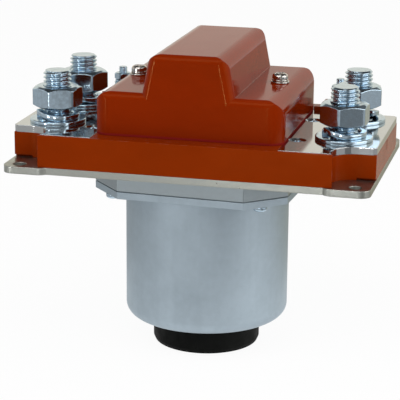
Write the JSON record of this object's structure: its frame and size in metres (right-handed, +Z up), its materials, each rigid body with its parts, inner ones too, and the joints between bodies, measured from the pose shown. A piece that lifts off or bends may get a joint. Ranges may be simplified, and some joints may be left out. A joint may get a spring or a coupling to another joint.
{
  "type": "dc contactor",
  "caption": "Solenoid contactor for direct current: two stud terminals at each end of a moulded base, a closed cover over the contact bridge, and a steel coil can below.",
  "frame": {"origin": "middle of the rubber foot's underside, on the plunger's axis", "axes": "+X along the base from one power terminal pair to the other, +Y to the side with the coil terminals, +Z up along the plunger's axis towards the cover"},
  "size_m": [0.155, 0.0954, 0.134],
  "materials": {
    "black_rubber": "moulded rubber, matt",
    "zinc_can": "drawn steel, satin zinc",
    "zinc_hardware": "bright zinc",
    "core_steel": "turned mild steel",
    "sleeve_brass": "drawn brass",
    "bobbin_nylon": "glass filled nylon",
    "enamelled_wire": "enamelled copper wire; brass stands in for copper",
    "coil_tape": "polyester tape",
    "lead_sleeve": "insulated stranded wire",
    "zinc_yoke": "satin zinc on thick plate",
    "zinc_sheet": "zinc on sheet steel",
    "fibre_sheet": "pressed fibre",
    "orange_moulding": "glossy thermoset moulding",
    "nickel_plate": "nickel plated copper, polished",
    "silver_alloy": "silver alloy",
    "orange_cover": "glossy moulding",
    "nickel_hardware": "nickel plated",
    "red_fibre": "vulcanised fibre",
    "stainless": "ground stainless steel",
    "spring_steel": "spring wire",
    "bare_copper": "copper bar; brass stands in for copper"
  },
  "bodies": {
    "housing": {"rubber_cap": "black_rubber", "can": "zinc_can", "core_nut": "zinc_hardware", "core_washer": "zinc_hardware", "fixed_core": "core_steel", "guide_sleeve": "sleeve_brass", "bobbin": "bobbin_nylon", "coil_winding": "enamelled_wire", "coil_wrap": "coil_tape", "coil_leads": "lead_sleeve", "yoke_plate": "zinc_yoke", "mounting_plate": "zinc_sheet", "clamp_screws": "zinc_hardware", "insulating_sheet": "fibre_sheet", "base_block": "orange_moulding", "contact_plate_left": "nickel_plate", "contact_plate_right": "nickel_plate", "plate_screws": "zinc_hardware", "fixed_tips": "silver_alloy", "power_studs": "zinc_hardware", "flat_washers": "zinc_hardware", "spring_washers": "zinc_hardware", "power_nuts": "zinc_hardware", "coil_studs": "zinc_hardware", "coil_lower_nuts": "zinc_hardware", "coil_flat_washers": "zinc_hardware", "coil_spring_washers": "zinc_hardware", "coil_nuts": "zinc_hardware", "cover": "orange_cover", "cover_flat_washers": "nickel_hardware", "cover_spring_washers": "nickel_hardware", "cover_screws": "nickel_hardware", "stop_washer": "red_fibre"},
    "plunger": {"plunger": "core_steel", "shaft": "stainless", "shaft_bush": "bobbin_nylon", "spring_retainer": "zinc_hardware", "shaft_nut": "zinc_hardware", "return_spring": "spring_steel"},
    "bridge": {"contact_bridge": "bare_copper", "bridge_tips": "silver_alloy", "contact_spring": "spring_steel"}
  },
  "joints": [
    {"name": "plunger_slide", "type": "slide", "parent": "housing", "child": "plunger", "axis": [0, 0, -1], "range_m": [0, 0.006], "stiffness_N_per_m": 1500, "springref_m": -0.006, "deforming": ["return_spring"]},
    {"name": "bridge_slide", "type": "slide", "parent": "plunger", "child": "bridge", "axis": [0, 0, 1], "range_m": [0, 0.002], "stiffness_N_per_m": 4000, "springref_m": -0.004, "deforming": ["contact_spring"]}
  ],
  "couplings": [
    {"joint": "bridge_slide", "follows": "plunger_slide", "ratio": 0.33333}
  ]
}
